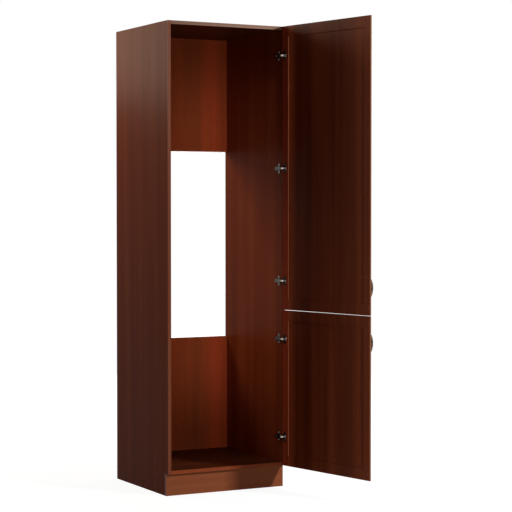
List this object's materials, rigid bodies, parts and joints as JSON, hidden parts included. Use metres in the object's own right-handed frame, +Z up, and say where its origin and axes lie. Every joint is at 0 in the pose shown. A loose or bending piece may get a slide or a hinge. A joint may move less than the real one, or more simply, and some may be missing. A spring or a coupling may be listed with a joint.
{
  "type": "fridge housing cabinet",
  "caption": "Tall kitchen housing for a built-in refrigerator, with an open middle back, a plinth and framed doors hinged on the right, shown open.",
  "frame": {"origin": "middle of the plinth board's underside, on the floor", "axes": "+Z up, +X to the right as seen from the front, +Y to the wall behind the cabinet"},
  "size_m": [0.7345, 1.1708, 2.14],
  "materials": {
    "mahogany_decor": "satin",
    "edge_banding": "satin",
    "beech": "matte",
    "zinc_casting": "satin",
    "zinc_plated_steel": "satin",
    "nickel_steel": "polished",
    "handle_bronze": "satin",
    "bumper_rubber": "matte"
  },
  "bodies": {
    "cabinet": {"bottom_edge_band": "edge_banding", "bottom_panel": "mahogany_decor", "cam_bolts": "zinc_plated_steel", "cam_locks": "zinc_casting", "hinge_arm_screws": "nickel_steel", "hinge_plate_screws": "nickel_steel", "left_edge_band": "edge_banding", "left_side_panel": "mahogany_decor", "lower_back_edge_band": "edge_banding", "lower_back_panel": "mahogany_decor", "lower_bottom_hinge_arm": "nickel_steel", "lower_bottom_hinge_plate": "nickel_steel", "lower_top_hinge_arm": "nickel_steel", "lower_top_hinge_plate": "nickel_steel", "plinth_board": "mahogany_decor", "plinth_bracket_screws": "zinc_plated_steel", "plinth_brackets": "zinc_plated_steel", "right_edge_band": "edge_banding", "right_side_panel": "mahogany_decor", "top_edge_band": "edge_banding", "top_panel": "mahogany_decor", "upper_back_edge_band": "edge_banding", "upper_back_panel": "mahogany_decor", "upper_bottom_hinge_arm": "nickel_steel", "upper_bottom_hinge_plate": "nickel_steel", "upper_middle_hinge_arm": "nickel_steel", "upper_middle_hinge_plate": "nickel_steel", "upper_top_hinge_arm": "nickel_steel", "upper_top_hinge_plate": "nickel_steel", "wood_dowels": "beech"},
    "upper_door": {"upper_bottom_hinge_cup": "nickel_steel", "upper_cup_screws": "nickel_steel", "upper_door_bottom_rail": "mahogany_decor", "upper_door_bumpers": "bumper_rubber", "upper_door_handle_stile": "mahogany_decor", "upper_door_hinge_stile": "mahogany_decor", "upper_door_panel": "mahogany_decor", "upper_door_top_rail": "mahogany_decor", "upper_handle": "handle_bronze", "upper_handle_screws": "nickel_steel", "upper_hinge_pins": "nickel_steel", "upper_middle_hinge_cup": "nickel_steel", "upper_top_hinge_cup": "nickel_steel"},
    "lower_door": {"lower_bottom_hinge_cup": "nickel_steel", "lower_cup_screws": "nickel_steel", "lower_door_bottom_rail": "mahogany_decor", "lower_door_bumpers": "bumper_rubber", "lower_door_handle_stile": "mahogany_decor", "lower_door_hinge_stile": "mahogany_decor", "lower_door_panel": "mahogany_decor", "lower_door_top_rail": "mahogany_decor", "lower_handle": "handle_bronze", "lower_handle_screws": "nickel_steel", "lower_hinge_pins": "nickel_steel", "lower_top_hinge_cup": "nickel_steel"}
  },
  "joints": [
    {"name": "upper_door_hinge", "type": "hinge", "parent": "cabinet", "child": "upper_door", "pos_m": [0.2915, -0.0387, 1.48425], "axis": [0, 0, 1], "range_deg": [-101.1, 3.9]},
    {"name": "lower_door_hinge", "type": "hinge", "parent": "cabinet", "child": "lower_door", "pos_m": [0.2915, -0.0387, 0.464], "axis": [0, 0, 1], "range_deg": [-101.1, 3.9]}
  ]
}
